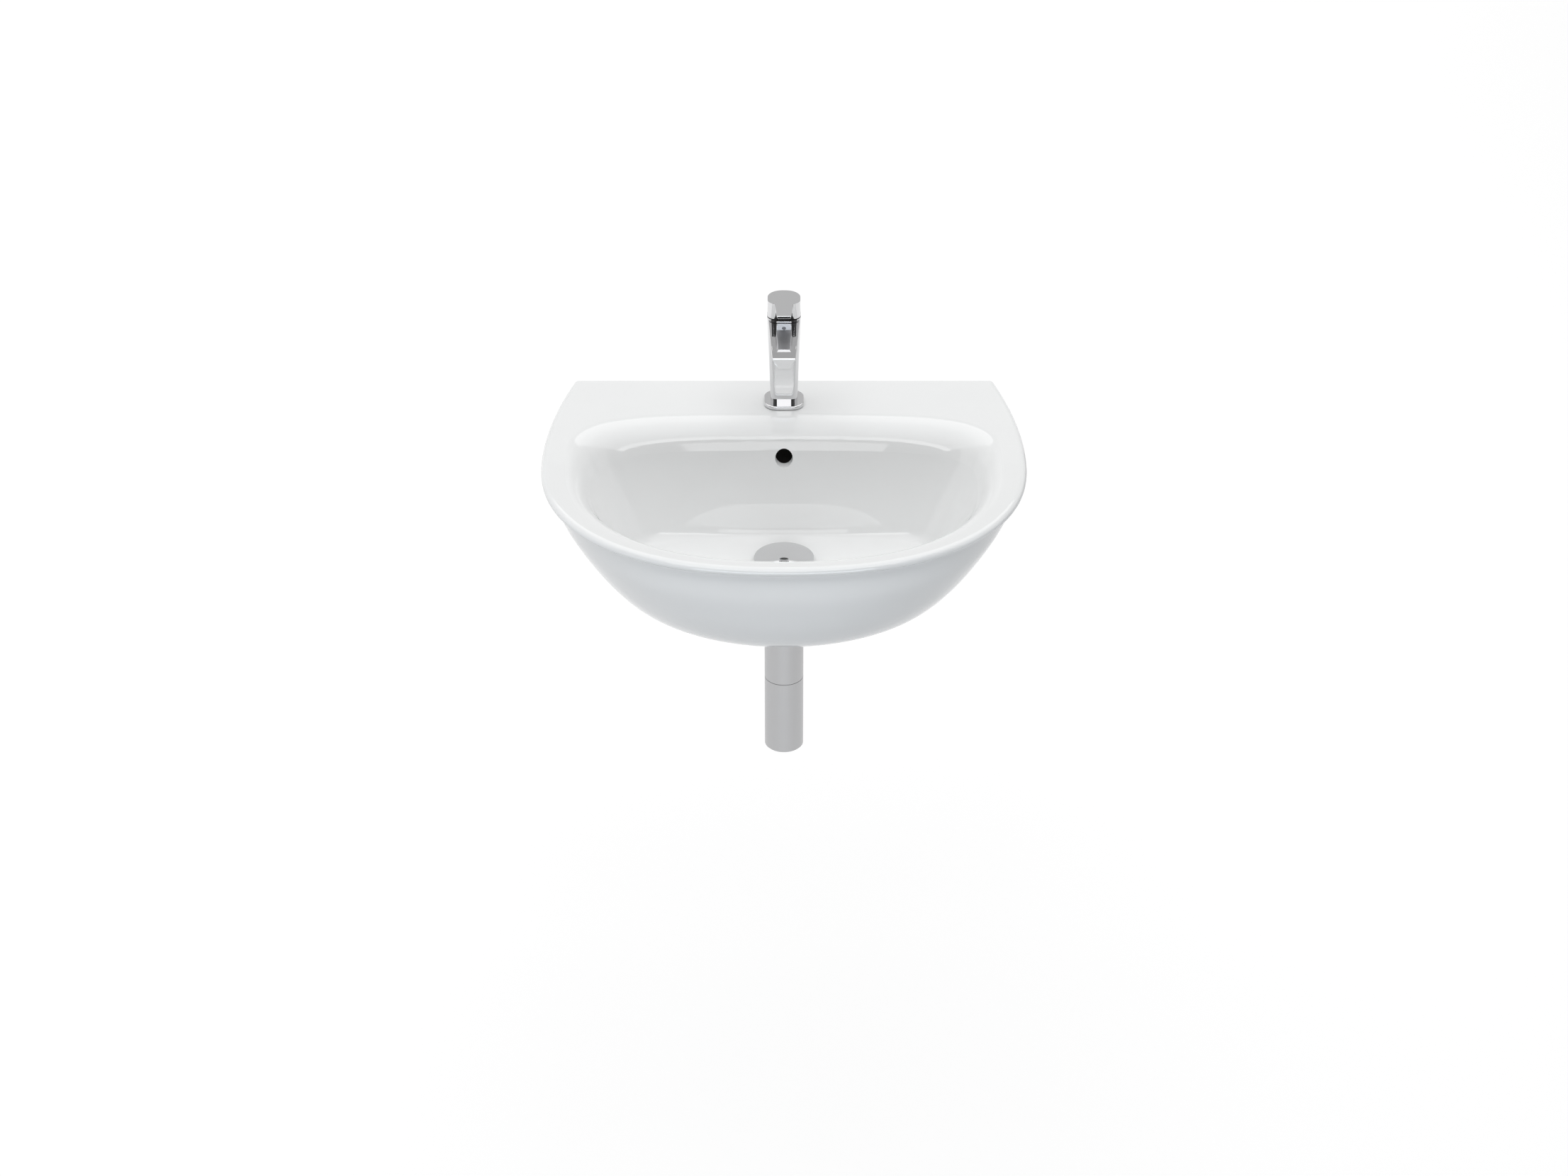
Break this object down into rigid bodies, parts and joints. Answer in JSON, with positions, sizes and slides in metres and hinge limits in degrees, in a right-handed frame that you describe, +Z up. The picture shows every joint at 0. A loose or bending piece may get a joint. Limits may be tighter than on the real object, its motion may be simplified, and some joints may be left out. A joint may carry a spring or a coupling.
{
  "type": "wall-hung wash basin",
  "caption": "Wall-hung white china wash basin with a curved front, a chrome single-lever mixer on the deck, a press-to-close waste, an overflow and a bottle trap.",
  "frame": {"origin": "on the wall's face, midway between the two wall studs", "axes": "+X to the user's right, +Y into the wall, +Z up; the user stands on the -Y side"},
  "size_m": [0.5999, 0.545, 0.5498],
  "materials": {
    "china": "glossy white glaze",
    "chrome": "polished",
    "rubber": "matt black",
    "steel": "zinc plated",
    "brass": "machined",
    "white_plastic": "matt",
    "dark_plastic": "matt",
    "button_plastic": "gloss",
    "ceramic": "lapped"
  },
  "bodies": {
    "basin": {"basin": "china", "tap_body": "chrome", "base_plate": "chrome", "waste_body": "chrome", "trap_head": "chrome", "trap_cup": "chrome", "inlet_pipe": "chrome", "union_nut": "chrome", "inlet_nut": "chrome", "outlet_pipe": "chrome", "outlet_nut": "chrome", "wall_rosette": "chrome", "base_gasket": "rubber", "aerator_washer": "rubber", "horseshoe_gasket": "rubber", "cartridge_seal": "rubber", "flange_gasket": "rubber", "under_gasket": "rubber", "union_washer": "rubber", "inlet_seal": "rubber", "cup_seal": "rubber", "outlet_seal": "rubber", "wall_studs": "steel", "fixing_washers": "steel", "fixing_nuts": "steel", "horseshoe_plate": "steel", "clamp_stud": "steel", "plug_spring": "steel", "backnut": "brass", "cartridge_nut": "brass", "clamp_nut": "brass", "fixing_bushes": "white_plastic", "under_washer": "white_plastic", "aerator_housing": "white_plastic", "aerator_insert": "white_plastic", "cover_ring": "dark_plastic", "cartridge_base": "dark_plastic", "cartridge_housing": "dark_plastic", "plug_guide": "dark_plastic", "fixed_disc": "ceramic"},
    "mixer_rotor": {"rotor": "dark_plastic", "pivot_pin": "steel"},
    "mixer_lever": {"lever_stem": "steel", "lever_handle": "chrome", "handle_screw": "steel", "colour_button": "button_plastic"},
    "mixer_slider": {"moving_disc": "ceramic", "disc_carrier": "dark_plastic"},
    "plug": {"plug_cap": "chrome", "plug_seal": "rubber", "plug_pin": "brass"}
  },
  "joints": [
    {"name": "mixer_swing", "type": "hinge", "parent": "basin", "child": "mixer_rotor", "pos_m": [0, -0.052, 0.166], "axis": [0, 0, 1], "range_deg": [-50, 50]},
    {"name": "mixer_lift", "type": "hinge", "parent": "mixer_rotor", "child": "mixer_lever", "pos_m": [0, -0.052, 0.166], "axis": [-1, 0, 0], "range_deg": [0, 20]},
    {"name": "disc_slide", "type": "slide", "parent": "mixer_rotor", "child": "mixer_slider", "axis": [0, -1, 0], "range_m": [0, 0.0032]},
    {"name": "plug_press", "type": "slide", "parent": "basin", "child": "plug", "axis": [0, 0, -1], "range_m": [0, 0.006], "stiffness_N_per_m": 800, "springref_m": -0.004, "deforming": ["plug_spring"]}
  ],
  "couplings": [
    {"joint": "disc_slide", "follows": "mixer_lift", "m_per_rad": 0.009}
  ]
}
